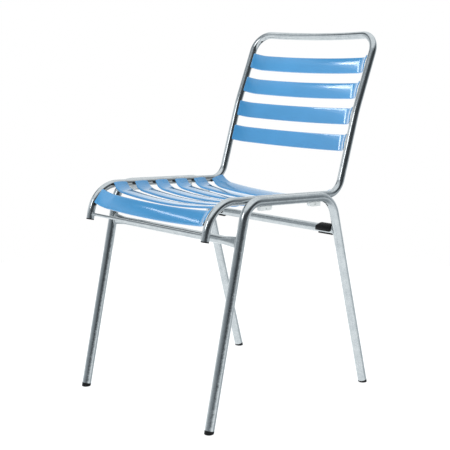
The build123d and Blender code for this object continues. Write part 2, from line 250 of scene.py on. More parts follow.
class ChairStage(bpy.types.PropertyGroup):
    """Floor, light and camera."""

    floor_size: amount(3.2, "Floor", "Width of the floor", unit="LENGTH")
    floor_colour: colour((0.5, 0.5, 0.5), "Floor colour", "Colour of the floor")
    floor_glow: amount(0.75, "Floor glow", "Light that the backlit floor gives off")
    camera_place: bpy.props.FloatVectorProperty(
        name="Camera",
        description="Place of the camera",
        default=(1.707, -1.713, 0.800),
        subtype="XYZ",
        unit="LENGTH",
    )
    camera_azimuth: degrees(45.47, "Camera azimuth", "Direction of the camera round the chair")
    camera_elevation: degrees(9.566, "Camera elevation", "Height of the camera above the level view")
    camera_roll: degrees(0.789, "Camera roll", "Roll of the camera")
    camera_lens: amount(81.39, "Lens", "Focal length of the camera in millimetres", unit="CAMERA")
    room_shade: amount(0.07, "Room", "Brightness of the dark room behind the camera")
    side_glow: amount(0.45, "Left side", "Brightness of the room's left side")
    backdrop_glow: amount(1.15, "Backdrop", "Brightness of the white backdrop")
    ceiling_glow: amount(1.1, "Ceiling", "Brightness of the ceiling")
    ground_glow: amount(1.2, "Ground", "Brightness of the ground beyond the floor")
    lamp_shade: amount(0.12, "Lamp surround", "Brightness of the dim wall behind the lamps")
    right_shade: amount(0.4, "Right side", "Brightness of the dim ground on the camera's right")
    lamp_aim: millimetres(450, "Lamp aim", "Height of the point that the lamps face")
    key_light: watts(9, "Key light", "Power of the softbox on the camera's left")
    rail_light: watts(2.1, "Rail light", "Power of the panel that the top rail mirrors")
    edge_light: watts(0.45, "Edge light", "Power of the tube that the front slat mirrors")
    glow_light: watts(0.4, "Glow light", "Power of the panel beside the back")
    strip_light: watts(11, "Strip light", "Power of the tall panel that the back slats' ends mirror")
    bar_light: watts(0.24, "Bar light", "Power of the level tube above the panels")
    fill_light: watts(35, "Fill light", "Power of the light near the camera")


def evenly(start, end, steps):
    """Evenly spaced values from a start to an end."""
    return [start + (end - start) * step / steps for step in range(steps + 1)]


def clamped(value):
    """A value kept between nought and one."""
    return min(1, max(0, value))


def turns(count):
    """Evenly spaced angles round a full turn."""
    return [2 * pi * step / count for step in range(count)]


def circle(side, other, count):
    """Evenly spaced directions round a full turn."""
    return [side * cos(angle) + other * sin(angle) for angle in turns(count)]


def rounded_edge(radius, steps):
    """Points of a quarter round, each as its distances below one face and inside the other."""
    return [(radius * (1 - sin(angle)), radius * (1 - cos(angle))) for angle in evenly(0, pi / 2, steps)]


def side_step(point, turn, distance):
    """A point in the side view, a distance away along a direction turned rearward from upright."""
    return Vector((0, point.y + distance * sin(turn), point.z + distance * cos(turn)))


def at_side(point, x):
    """A side-view point moved out to the given X."""
    return Vector((x, point.y, point.z))


def mirrored(point):
    """The same point on the other side of the chair."""
    return Vector((-point.x, point.y, point.z))


def run_lengths(points, radii):
    """Lengths of the straight runs and bends along a bent tube's axis, in turn."""
    corners = zip(points, points[1:], points[2:])
    angles = [(corner - before).angle(after - corner) for before, corner, after in corners]
    setbacks = [0] + [radius * tan(angle / 2) for radius, angle in zip(radii, angles)] + [0]
    lengths = []
    for index, (start, end) in enumerate(zip(points, points[1:])):
        lengths.append((end - start).length - setbacks[index] - setbacks[index + 1])
        if index < len(angles):
            lengths.append(radii[index] * angles[index])
    return lengths


def bend_path(points, radii, spacing):
    """Points along the axis of a bent tube: straight runs joined by arcs."""
    path = [points[0].copy()]

    def run_to(end):
        start = path[-1].copy()
        count = max(1, ceil((end - start).length / spacing))
        path.extend(start.lerp(end, step / count) for step in range(1, count + 1))

    for before, corner, after, radius in zip(points, points[1:], points[2:], radii):
        into = (corner - before).normalized()
        out = (after - corner).normalized()
        turn = into.angle(out)
        run_to(corner - into * radius * tan(turn / 2))
        axis = into.cross(out).normalized()
        centre = path[-1] + axis.cross(into) * radius
        arm = path[-1] - centre
        count = max(2, ceil(radius * turn / spacing))
        angles = evenly(0, turn, count)[1:]
        path.extend(centre + Matrix.Rotation(angle, 3, axis) @ arm for angle in angles)
    run_to(points[-1])
    return path


def path_directions(path, closed=False):
    """The direction of travel at each point of a path."""
    count = len(path)
    directions = []
    for index in range(count):
        before = path[index - 1] if closed or index > 0 else path[index]
        after = path[(index + 1) % count] if closed or index < count - 1 else path[index]
        directions.append((after - before).normalized())
    return directions


def path_distances(path):
    """The distance travelled at each point of a path."""
    distances = [0]
    for start, end in zip(path, path[1:]):
        distances.append(distances[-1] + (end - start).length)
    return distances


def point_at(path, distance):
    """The point and direction a given distance along a path."""
    for start, end in zip(path, path[1:]):
        step = (end - start).length
        if distance <= step:
            return start.lerp(end, distance / step), (end - start).normalized()
        distance -= step
    raise ValueError("the place is beyond the end of the tube")


def bend_inside(path, distance):
    """The point in a bend of a path, and the direction towards the inside of the bend."""
    middle, _ = point_at(path, distance)
    _, before = point_at(path, distance - 2 * TUBE_SPACING)
    _, after = point_at(path, distance + 2 * TUBE_SPACING)
    return middle, (after - before).normalized()


class Layout:
    """Places on the chair, worked out from the sizes, in the part's own frame."""

    def __init__(self, scene):
        tubes = scene.chair_tubes
        slats = scene.chair_slats
        self.tubes = tubes
        self.slats = slats
        self.hoop_radius = tubes.hoop_diameter / 2
        self.leg_radius = tubes.leg_diameter / 2
        self.rail_x = tubes.rail_spacing / 2
        tube_distance = self.hoop_radius + self.leg_radius + tubes.joint_gap
        self.leg_x = self.rail_x + sqrt(tube_distance**2 - tubes.leg_run_drop**2)
        self.upper_recline = tubes.back_recline + tubes.back_bend
        self.middle = Vector((0, 0, 0))
        rod_low, rod_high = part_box("front_tie_rod")
        self.middle.y = (rod_low.y + rod_high.y) / 2 - self.tie_rod_middle().y

    def seat_corners(self):
        """The front and rear corners of the seat rail's axis, in the side view."""
        tubes = self.tubes
        centre = self.middle + UP * tubes.seat_height
        back = pi / 2 + tubes.seat_tilt
        front = side_step(centre, back, -tubes.seat_front_reach)
        rear = side_step(centre, back, tubes.seat_rear_reach)
        return front, rear

    def nose_end(self):
        """The end of the nose's axis, in the side view."""
        return side_step(self.seat_corners()[0], self.tubes.nose_angle, -self.tubes.nose_length)

    def tie_rod_middle(self):
        """The middle of the tie rod."""
        return side_step(self.nose_end(), self.tubes.nose_angle, self.tubes.tie_rod_inset)

    def side_points(self):
        """Corners of the hoop's axis in the side view, from the nose to the top corner."""
        tubes = self.tubes
        front, rear = self.seat_corners()
        bend = side_step(rear, tubes.back_recline, tubes.lower_back_length)
        top = side_step(bend, self.upper_recline, tubes.upper_back_length)
        return [self.nose_end(), front, rear, bend, top]

    def side_radii(self):
        """Bend radii of the hoop below its top corner."""
        return [self.tubes.nose_bend_radius, self.tubes.rear_bend_radius, self.tubes.back_bend_radius]

    def hoop_path(self, spacing):
        """The axis of the hoop, from the left nose over the top rail to the right nose."""
        tubes = self.tubes
        points = self.side_points()
        sweep = tubes.top_sweep
        top_middle = side_step(points[-1], self.upper_recline + pi / 2, self.rail_x * tan(sweep))
        bow_tangent = (self.rail_x / cos(sweep) - tubes.top_corner_radius) * tubes.top_bow
        left = [at_side(point, self.rail_x) for point in points]
        right = [mirrored(point) for point in reversed(left)]
        radii = self.side_radii() + [tubes.top_corner_radius]
        radii = radii + [bow_tangent / tan(sweep)] + radii[::-1]
        return bend_path(left + [top_middle] + right, radii, spacing)

    def leg_axis(self, reach, turn, height):
        """The point of a leg's axis at a height, in the side view."""
        return self.middle + Vector((0, reach + height * tan(turn), height))

    def front_leg(self, height):
        """The point of the front legs' axis at a height, in the side view."""
        return self.leg_axis(-self.tubes.front_foot_reach, self.tubes.front_leg_angle, height)

    def rear_leg(self, height):
        """The point of the rear legs' axis at a height, in the side view."""
        return self.leg_axis(self.tubes.rear_foot_reach, -self.tubes.rear_leg_angle, height)

    def leg_corner(self, reach, turn):
        """Where a leg's axis meets the axis of the leg frame's top run, in the side view."""
        slope = tan(self.tubes.seat_tilt)
        run_height = self.tubes.seat_height - self.tubes.leg_run_drop
        return self.leg_axis(reach, turn, (run_height - slope * reach) / (1 + slope * tan(turn)))

    def leg_points(self, glide_height):
        """Corners of a leg frame's axis in the side view, from the front foot to the rear foot."""
        tubes = self.tubes
        front_angle = tubes.front_leg_angle
        rear_angle = -tubes.rear_leg_angle
        return [
            side_step(self.front_leg(0), front_angle, glide_height),
            self.leg_corner(-tubes.front_foot_reach, front_angle),
            self.leg_corner(tubes.rear_foot_reach, rear_angle),
            side_step(self.rear_leg(0), rear_angle, glide_height),
        ]

    def leg_radii(self):
        """Bend radii of a leg frame."""
        return [self.tubes.front_leg_bend_radius, self.tubes.rear_leg_bend_radius]

    def slat_planes(self):
        """For each slat node: the point on the hoop's axis behind it, and the direction along the tube."""
        slats = self.slats
        points = self.side_points()
        radii = self.side_radii()
        lengths = run_lengths(points, radii)
        path = bend_path(points, radii, FINE_SPACING)
        nose_bend_end = sum(lengths[:2])
        rear_bend_end = sum(lengths[:4])
        front = nose_bend_end - self.tubes.nose_bend_radius * slats.front_angle
        second = nose_bend_end + slats.rail_setback
        lowest = rear_bend_end + slats.back_rise
        rail = [second + slats.rail_pitch * step for step in range(slats.rail_count)]
        back = [lowest + slats.back_pitch * step for step in range(slats.back_count)]
        places = {f"seat_slat_{number}": place for number, place in enumerate([front] + rail, start=1)}
        places.update({f"back_slat_{number}": place for number, place in enumerate(back, start=1)})
        return {node: point_at(path, place) for node, place in places.items()}


def skin(name, rings, material, capped=True, closed=False):
    """A smooth piece through rings of points, mapped by its girth and length in metres."""
    mesh = bpy.data.meshes.new(name)
    made = bmesh.new()
    layer = made.loops.layers.uv.new("surface")
    rows = [[made.verts.new(point) for point in ring] for ring in rings]
    centres = [sum(ring, Vector()) / len(ring) for ring in rings]
    alongs = path_distances(centres + centres[:1])
    for row in range(len(rings) if closed else len(rings) - 1):
        ring = rings[row]
        girths = path_distances(list(ring) + [ring[0]])
        lower = rows[row]
        upper = rows[(row + 1) % len(rows)]
        for column in range(len(ring)):
            after = (column + 1) % len(ring)
            face = made.faces.new((lower[column], lower[after], upper[after], upper[column]))
            face.smooth = True
            corners = ((column, row), (column + 1, row), (column + 1, row + 1), (column, row + 1))
            for loop, (girth, along) in zip(face.loops, corners):
                loop[layer].uv = (girths[girth], alongs[along])
    if capped and not closed:
        made.faces.new(rows[0])
        made.faces.new(rows[-1])
    bmesh.ops.recalc_face_normals(made, faces=made.faces)
    made.to_mesh(mesh)
    made.free()
    mesh.set_sharp_from_angle(angle=CREASE_ANGLE)
    mesh.materials.append(material)
    piece = bpy.data.objects.new(name, mesh)
    bpy.context.scene.collection.objects.link(piece)
    return piece


def settle(piece, slot, *nodes):
    """Fix a piece to the chair and let it stand for its nodes; the slot is not used."""
    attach(piece, ROOT)
    if nodes:
        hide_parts(*nodes)
    return piece


def tube_rings(path, radius):
    """Rings round a path: a drawn tube, a little flattened in its bends and uneven from the zinc bath."""
    directions = path_directions(path)
    side = directions[0].orthogonal().normalized()
    rings = []
    for index, (point, direction) in enumerate(zip(path, directions)):
        side = (side - direction * side.dot(direction)).normalized()
        turning = directions[min(index + 1, len(path) - 1)] - directions[max(index - 1, 0)]
        bent = min(1, turning.length * radius / TUBE_SPACING)
        inward = turning.normalized() if turning.length else side
        ring = []
        for out in circle(side, direction.cross(side), TUBE_SEGMENTS):
            flattened = radius * (1 - BEND_FLATTENING * bent * out.dot(inward) ** 2)
            surface = point + out * flattened
            ring.append(surface + out * ZINC_WAVE * noise.noise(surface * ZINC_WAVE_SCALE))
        rings.append(ring)
    return rings


def bored_tube(name, path, radius, wall, depth, material):
    """A tube along a path whose ends are bored out to a depth, with flat end faces."""
    rings = tube_rings(path, radius)
    directions = path_directions(path)
    bore = (radius - wall) / radius
    first = [path[0] + (point - path[0]) * bore for point in rings[0]]
    last = [path[-1] + (point - path[-1]) * bore for point in rings[-1]]
    first_floor = [point + directions[0] * depth for point in first]
    last_floor = [point - directions[-1] * depth for point in last]
    return skin(name, [first_floor, first] + rings + [last, last_floor], material)


def drill(piece, start, end, radius, hole_shade):
    """Drill a blind hole into a piece, lined with its own material: a dark one that paints the shade inside
    the hole.
    """
    cutter_mesh = bpy.data.meshes.new("drill")
    made = bmesh.new()
    axis = end - start
    bmesh.ops.create_cone(
        made,
        cap_ends=True,
        segments=DRILL_SEGMENTS,
        radius1=radius,
        radius2=radius,
        depth=axis.length,
        matrix=Matrix.Translation((start + end) / 2) @ axis.to_track_quat("Z", "Y").to_matrix().to_4x4(),
    )
    made.to_mesh(cutter_mesh)
    made.free()
    cutter_mesh.materials.append(hole_shade)
    cutter = bpy.data.objects.new("drill", cutter_mesh)
    bpy.context.scene.collection.objects.link(cutter)
    cut = piece.modifiers.new("drill", "BOOLEAN")
    cut.operation = "DIFFERENCE"
    cut.solver = "EXACT"
    cut.material_mode = "TRANSFER"
    cut.object = cutter
    shaped = piece.evaluated_get(bpy.context.evaluated_depsgraph_get())
    drilled = bpy.data.meshes.new_from_object(shaped)
    piece.modifiers.clear()
    blank = piece.data
    piece.data = drilled
    bpy.data.meshes.remove(blank)
    drilled.name = piece.name
    bpy.data.objects.remove(cutter)
    bpy.data.meshes.remove(cutter_mesh)


def plug_in(tree, node, sockets):
    """Set the constant inputs of a shader node and link the others."""
    for name, value in sockets.items():
        if isinstance(value, bpy.types.NodeSocket):
            tree.links.new(value, node.inputs[name])
        else:
            node.inputs[name].default_value = value


def add_node(tree, kind, sockets=None, **settings):
    """A shader node with its settings and its inputs."""
    made = tree.nodes.new(kind)
    for name, value in settings.items():
        setattr(made, name, value)
    plug_in(tree, made, sockets or {})
    return made


def new_material(name):
    """An empty node material with its tree and its shader."""
    material = bpy.data.materials.new(name)
    material.use_nodes = True
    tree = material.node_tree
    shader = next(node for node in tree.nodes if node.type == "BSDF_PRINCIPLED")
    return material, tree, shader


def object_place(tree):
    """The place on a piece, in metres."""
    return add_node(tree, "ShaderNodeTexCoord").outputs["Object"]


def cloud(tree, place, scale, detail, roughness):
    """A noise texture's value."""
    sockets = {"Vector": place, "Scale": scale, "Detail": detail, "Roughness": roughness}
    return add_node(tree, "ShaderNodeTexNoise", sockets).outputs["Fac"]


def mixed(tree, part, first, second, **settings):
    """Two values or colours, mixed by the second one's part."""
    sockets = {"Factor": part, "A": first, "B": second}
    return add_node(tree, "ShaderNodeMix", sockets, **settings).outputs["Result"]


def spread(tree, value, first, last):
    """A value between nought and one, spread from a first to a last."""
    sockets = {"Value": value, "To Min": first, "To Max": last}
    return add_node(tree, "ShaderNodeMapRange", sockets).outputs["Result"]


def bump(tree, height, strength, distance, normal=None):
    """A bump from a height, on top of another if there is one."""
    sockets = {"Height": height, "Strength": strength, "Distance": distance}
    if normal:
        sockets["Normal"] = normal
    return add_node(tree, "ShaderNodeBump", sockets).outputs["Normal"]


def two_tones(tree, value, low, high, start=0.0, end=1.0):
    """A colour that goes from a low one at the start of a value to a high one at its end."""
    ramp = add_node(tree, "ShaderNodeValToRGB", {"Fac": value})
    for element, position, tone in zip(ramp.color_ramp.elements, (start, end), (low, high)):
        element.position = position
        element.color = (*tone, 1)
    return ramp.outputs["Color"]


def toned(shade, factor):
    """A colour made darker or lighter."""
    return [min(1, part * factor) for part in shade]


def zinc_finish(tree, finish):
    """Hot-dip galvanised steel: mottled patches, faint drawn streaks and a rippled sheen."""
    places = add_node(tree, "ShaderNodeTexCoord").outputs
    place = places["Object"]
    patches = cloud(tree, place, scale=38, detail=5, roughness=0.62)
    crystals = add_node(tree, "ShaderNodeTexVoronoi", {"Vector": place, "Scale": 300, "Randomness": 1.0})
    flakes = add_node(tree, "ShaderNodeRGBToBW", {"Color": crystals.outputs["Color"]}).outputs["Val"]
    drawn = add_node(tree, "ShaderNodeMapping", {"Vector": places["UV"], "Scale": (420, 24, 1)})
    streaks = cloud(tree, drawn.outputs["Vector"], scale=1, detail=4, roughness=0.6)
    mottle = mixed(tree, 0.22, patches, flakes)
    mottle = mixed(tree, 0.36, mottle, streaks)
    ripples = cloud(tree, place, scale=120, detail=2, roughness=0.5)
    grain = cloud(tree, place, scale=900, detail=2, roughness=0.5)
    surface = bump(tree, ripples, strength=0.35, distance=0.0006)
    surface = bump(tree, streaks, strength=0.25, distance=0.0004, normal=surface)
    surface = bump(tree, grain, strength=0.10, distance=0.0001, normal=surface)
    return {
        "Base Color": two_tones(tree, mottle, finish.zinc_dark, finish.zinc_light, start=0.33, end=0.62),
        "Roughness": spread(tree, mottle, first=0.27, last=0.09),
        "Normal": surface,
        "Metallic": 1.0,
    }


def weld_finish(tree, finish):
    """Weld metal under zinc: duller and rougher than the tubes."""
    pits = cloud(tree, object_place(tree), scale=420, detail=4, roughness=0.6)
    return {
        "Base Color": two_tones(tree, pits, finish.zinc_dark, finish.zinc_light),
        "Roughness": spread(tree, pits, first=0.5, last=0.3),
        "Normal": bump(tree, pits, strength=0.5, distance=0.0004),
        "Metallic": 1.0,
    }


def slat_finish(tree, finish):
    """Glossy slat: an almost even colour under a clear coat, hardly uneven and hardly scuffed."""
    place = object_place(tree)
    tone = cloud(tree, place, scale=9, detail=2, roughness=0.5)
    scuffs = cloud(tree, place, scale=60, detail=6, roughness=0.7)
    peel = cloud(tree, place, scale=330, detail=2, roughness=0.45)
    dark = toned(finish.slat_colour, 0.93)
    light = toned(finish.slat_colour, 1.05)
    return {
        "Base Color": two_tones(tree, tone, dark, light, start=0.3, end=0.7),
        "Roughness": spread(tree, scuffs, first=0.09, last=0.13),
        "Normal": bump(tree, peel, strength=0.006, distance=0.0002),
        "IOR": 1.5,
        "Coat Weight": 0.8,
        "Coat Roughness": 0.06,
    }


def moulded_finish(tree, shade, smoothest, roughest):
    """Matt moulded plastic with a fine grain and slightly rubbed patches."""
    place = object_place(tree)
    rubbed = cloud(tree, place, scale=130, detail=4, roughness=0.6)
    grain = cloud(tree, place, scale=1400, detail=2, roughness=0.5)
    return {
        "Base Color": two_tones(tree, rubbed, toned(shade, 0.8), toned(shade, 1.25)),
        "Roughness": spread(tree, rubbed, smoothest, roughest),
        "Normal": bump(tree, grain, strength=0.25, distance=0.0001),
        "Specular IOR Level": 0.25,
    }


def black_finish(tree, finish):
    """Matt black plastic."""
    return moulded_finish(tree, finish.black_colour, smoothest=0.38, roughest=0.6)


def grey_finish(tree, finish):
    """Matt light grey plastic."""
    return moulded_finish(tree, finish.grey_colour, smoothest=0.45, roughest=0.65)


def hole_shade_finish(tree, finish):
    """Painted shade inside a drain hole: dull near-black patches in place of the shade that falls there."""
    shade_patches = cloud(tree, object_place(tree), scale=300, detail=3, roughness=0.55)
    return {"Base Color": two_tones(tree, shade_patches, finish.soot_dark, finish.soot_light), "Roughness": 0.8}


FINISHES = {
    "galvanised_zinc": zinc_finish,
    "zinc_on_weld": weld_finish,
    "glossy_slat": slat_finish,
    "black_moulding": black_finish,
    "grey_moulding": grey_finish,
    # The drain holes' lining is painted shade
    "drain_lining": hole_shade_finish,
}


def finished(scene, name):
    """The material of a finish, made when it is first asked for."""
    if name not in bpy.data.materials:
        _, tree, shader = new_material(name)
        plug_in(tree, shader, FINISHES[name](tree, scene.chair_finish))
    return bpy.data.materials[name]


class SeatTube(bpy.types.Operator):
    """Build the long bent tube of the seat and the back"""

    bl_idname = "garden_chair.seat_tube"
    bl_label = "Seat and back tube"

    wall: millimetres(2, "Wall", "Wall of the tube")
    bore_depth: millimetres(20, "Bore", "Depth of the open ends")

    def execute(self, context):
        layout = Layout(context.scene)
        zinc = finished(context.scene, "galvanised_zinc")
        # The drain holes are lined with painted shade
        hole_shade = finished(context.scene, "drain_lining")
        path = layout.hoop_path(TUBE_SPACING)
        tube = bored_tube("seat_back_tube", path, layout.hoop_radius, self.wall, self.bore_depth, zinc)
        corner_radius = layout.tubes.top_corner_radius
        corner_start = sum(run_lengths(layout.side_points(), layout.side_radii())) - corner_radius
        middle, inward = bend_inside(path, corner_start + corner_radius * pi / 4)
        for side in SIDES.values():
            flip = Vector((side, 1, 1))
            start = (middle + inward * layout.hoop_radius / 2) * flip
            end = (middle + inward * layout.tubes.hoop_diameter) * flip
            drill(tube, start, end, layout.tubes.drain_diameter / 2, hole_shade)
        settle(tube, "galvanised_steel", "seat_back_frame")
        return {"FINISHED"}


class LegFrames(bpy.types.Operator):
    """Build the two leg frames"""

    bl_idname = "garden_chair.leg_frames"
    bl_label = "Leg frames"

    wall: millimetres(2, "Wall", "Wall of the tube")
    bore_depth: millimetres(24, "Bore", "Depth of the open ends")

    def execute(self, context):
        layout = Layout(context.scene)
        zinc = finished(context.scene, "galvanised_zinc")
        # The drain holes are lined with painted shade
        hole_shade = finished(context.scene, "drain_lining")
        points = layout.leg_points(context.scene.chair_trim.glide_height)
        radii = layout.leg_radii()
        lengths = run_lengths(points, radii)
        bend_middle = sum(lengths[:3]) + lengths[3] / 2
        radius = layout.leg_radius
        for name, side in SIDES.items():
            path = bend_path([at_side(point, side * layout.leg_x) for point in points], radii, TUBE_SPACING)
            tube = bored_tube(f"leg_tube_{name}", path, radius, self.wall, self.bore_depth, zinc)
            middle, inward = bend_inside(path, bend_middle)
            start = middle + inward * radius / 2
            drill(tube, start, start + inward * radius, layout.tubes.drain_diameter / 2, hole_shade)
            settle(tube, "galvanised_steel", f"leg_frame_{name}")
        return {"FINISHED"}


def tube_cut(point, tube_x, tube_point, tube_direction, tube_radius):
    """The X where a line across the chair through a point meets the near side of an upright tube."""
    across = Vector((0, point.y - tube_point.y, point.z - tube_point.z))
    distance = min((across - tube_direction * across.dot(tube_direction)).length, tube_radius)
    return tube_x - sqrt(tube_radius**2 - distance**2)


class Bar:
    """A bar across the chair, cut at both ends to an upright tube."""

    def __init__(self, middle, upright, section, tube_x, tube_direction, tube_radius):
        self.middle = middle
        self.upright = upright
        self.forward = ACROSS.cross(upright)
        self.section = section
        self.tube = (tube_x, middle, tube_direction, tube_radius)

    def surface(self, x, angle):
        """The point of the bar's surface at X and an angle round the bar."""
        height, depth = self.section(x)
        arm = self.upright * height * cos(angle) + self.forward * depth * sin(angle)
        return at_side(self.middle, x) + arm

    def end(self, angle):
        """The point where the bar's surface meets the tube, at an angle round the bar."""
        x = self.tube[0] - self.tube[3]
        for _ in range(CUT_ROUNDS):
            x = tube_cut(self.surface(x, angle), *self.tube)
        return self.surface(x, angle)

    def end_curve(self):
        """The closed curve where the bar meets the tube on the left."""
        return [self.end(angle) for angle in turns(TUBE_SEGMENTS)]

    def rings(self, fractions):
        """Rings along the whole bar, from fractions of its half length."""
        ends = self.end_curve()
        half = []
        for fraction in fractions:
            ring = []
            for angle, end in zip(turns(TUBE_SEGMENTS), ends):
                point = self.surface(end.x * fraction, angle)
                ring.append(point + UP * ZINC_WAVE * noise.noise(point * ZINC_WAVE_SCALE))
            half.append(ring)
        other = [[mirrored(point) for point in ring] for ring in half]
        return other[::-1] + half


def all_bars(layout):
    """The two crossbars and the tie rod by their node names."""
    tubes = layout.tubes
    front = layout.front_leg(tubes.front_bar_height)
    front_up = side_step(Vector(), tubes.front_leg_angle, 1)
    rear = layout.rear_leg(tubes.rear_bar_height)
    rear_up = side_step(Vector(), -tubes.rear_leg_angle, 1)
    nose_up = side_step(Vector(), tubes.nose_angle, 1)
    leg_cut = layout.leg_radius + tubes.joint_gap
    nose_cut = layout.hoop_radius + tubes.joint_gap
    flare_start = layout.leg_x - layout.leg_radius - tubes.flare_length

    def flared(x):
        radius = tubes.front_bar_diameter / 2
        along = clamped((x - flare_start) / (layout.leg_x - flare_start))
        height = radius + (tubes.flare_height / 2 - radius) * along
        depth = radius + (tubes.flare_depth / 2 - radius) * along
        return height, depth

    def plain(diameter):
        return lambda x: (diameter / 2, diameter / 2)

    return {
        "front_crossbar": Bar(front, front_up, flared, layout.leg_x, front_up, leg_cut),
        "rear_crossbar": Bar(rear, UP, plain(tubes.rear_bar_diameter), layout.leg_x, rear_up, leg_cut),
        "front_tie_rod": Bar(
            layout.tie_rod_middle(), UP, plain(tubes.tie_rod_diameter), layout.rail_x, nose_up, nose_cut
        ),
    }


class Crossbars(bpy.types.Operator):
    """Build the front crossbar with its pressed ends, the rear crossbar and the tie rod"""

    bl_idname = "garden_chair.crossbars"
    bl_label = "Crossbars and tie rod"

    steps: whole(70, "Steps", "Rings along half a bar")

    def execute(self, context):
        material = finished(context.scene, "galvanised_zinc")
        names = {"front_crossbar": "front_bar", "rear_crossbar": "rear_bar", "front_tie_rod": "nose_tie_rod"}
        fractions = evenly(0, 1, self.steps)[1:]
        for node, bar in all_bars(Layout(context.scene)).items():
            settle(skin(names[node], bar.rings(fractions), material), "galvanised_steel", node)
        return {"FINISHED"}


def bead_rings(path, radii, closed):
    """Rings of a rounded bead along a path."""
    directions = path_directions(path, closed)
    centre = sum(path, Vector()) / len(path)
    side = directions[0].orthogonal()
    rings = []
    for point, direction, radius in zip(path, directions, radii):
        side = point - centre if closed else side
        side = (side - direction * side.dot(direction)).normalized()
        rings.append([point + arm * radius for arm in circle(side, direction.cross(side), BEAD_SEGMENTS)])
    return rings


def resampled(path, spacing):
    """The same closed path with evenly spaced points."""
    loop = path + path[:1]
    total = path_distances(loop)[-1]
    count = ceil(total / spacing)
    return [point_at(loop, total * step / count)[0] for step in range(count)]


class WeldBeads(bpy.types.Operator):
    """Build the weld beads between the tubes"""

    bl_idname = "garden_chair.weld_beads"
    bl_label = "Weld beads"

    ripple_pitch: millimetres(2.6, "Ripple", "Distance between the ripples of a bead")
    ripple_depth: share(0.16, "Ripple depth", "Depth of the ripples as a share of the bead")
    stitch_length: millimetres(30, "Stitch", "Length of a weld between rail and leg frame")
    stitch_count: whole(3, "Stitches", "Welds between rail and leg frame")

    def execute(self, context):
        layout = Layout(context.scene)
        material = finished(context.scene, "zinc_on_weld")
        size = layout.tubes.weld_size
        sizes = {"front_crossbar": size, "rear_crossbar": size, "front_tie_rod": size * THIN_WELD_SHARE}
        for node, bar in all_bars(layout).items():
            left = resampled(bar.end_curve(), BEAD_SPACING)
            for name, side in SIDES.items():
                path = [at_side(point, side * point.x) for point in left]
                rings = bead_rings(path, self.rippled(path, sizes[node]), closed=True)
                settle(skin(f"weld_{node}_{name}", rings, material, closed=True), "galvanised_steel")
        for name, side in SIDES.items():
            stitches = self.stitches(layout, side * layout.rail_x, side * layout.leg_x)
            for number, path in enumerate(stitches, start=1):
                rings = bead_rings(path, self.tapered(path, size), closed=False)
                settle(skin(f"weld_rail_{name}_{number}", rings, material), "galvanised_steel")
        return {"FINISHED"}

    def rippled(self, path, size):
        """Radii of a rippled bead along a path."""
        radii = []
        for distance, place in zip(path_distances(path), path):
            ripple = sin(2 * pi * distance / self.ripple_pitch) + noise.noise(place * ZINC_WAVE_SCALE)
            radii.append(size * (1 + self.ripple_depth * ripple))
        return radii

    def tapered(self, path, size):
        """Radii of a rippled bead that is drawn in at both ends."""
        distances = path_distances(path)
        radii = []
        for distance, radius in zip(distances, self.rippled(path, size)):
            from_end = min(1, min(distance, distances[-1] - distance) / size)
            radii.append(radius * sqrt(max(TAPER_END, from_end * (2 - from_end))))
        return radii

    def stitches(self, layout, rail_x, leg_x):
        """Axes of the welds under the valley between a rail and a leg frame."""
        _, front, rear, _ = layout.leg_points(0)
        size = layout.tubes.weld_size
        rail_reach = layout.hoop_radius + size / 2
        leg_reach = layout.leg_radius + size / 2
        drop = layout.tubes.leg_run_drop
        apart = sqrt((leg_x - rail_x) ** 2 + drop**2)
        towards = (apart**2 + rail_reach**2 - leg_reach**2) / (2 * apart)
        below = sqrt(rail_reach**2 - towards**2)
        outward = Vector((leg_x - rail_x, 0, -drop)) / apart
        downward = Vector((-abs(outward.z), 0, -abs(outward.x)))
        downward.x *= 1 if leg_x > rail_x else -1
        along = (rear - front).normalized()
        radii = layout.leg_radii()
        first = front + along * (radii[0] + self.stitch_length)
        last = rear - along * (radii[1] + self.stitch_length)
        for number in range(self.stitch_count):
            middle = first.lerp(last, number / (self.stitch_count - 1))
            middle = Vector((rail_x, middle.y, middle.z + drop)) + outward * towards + downward * below
            start = middle - along * self.stitch_length / 2
            end = middle + along * self.stitch_length / 2
            count = ceil(self.stitch_length / BEAD_SPACING)
            yield [start.lerp(end, step / count) for step in range(count + 1)]


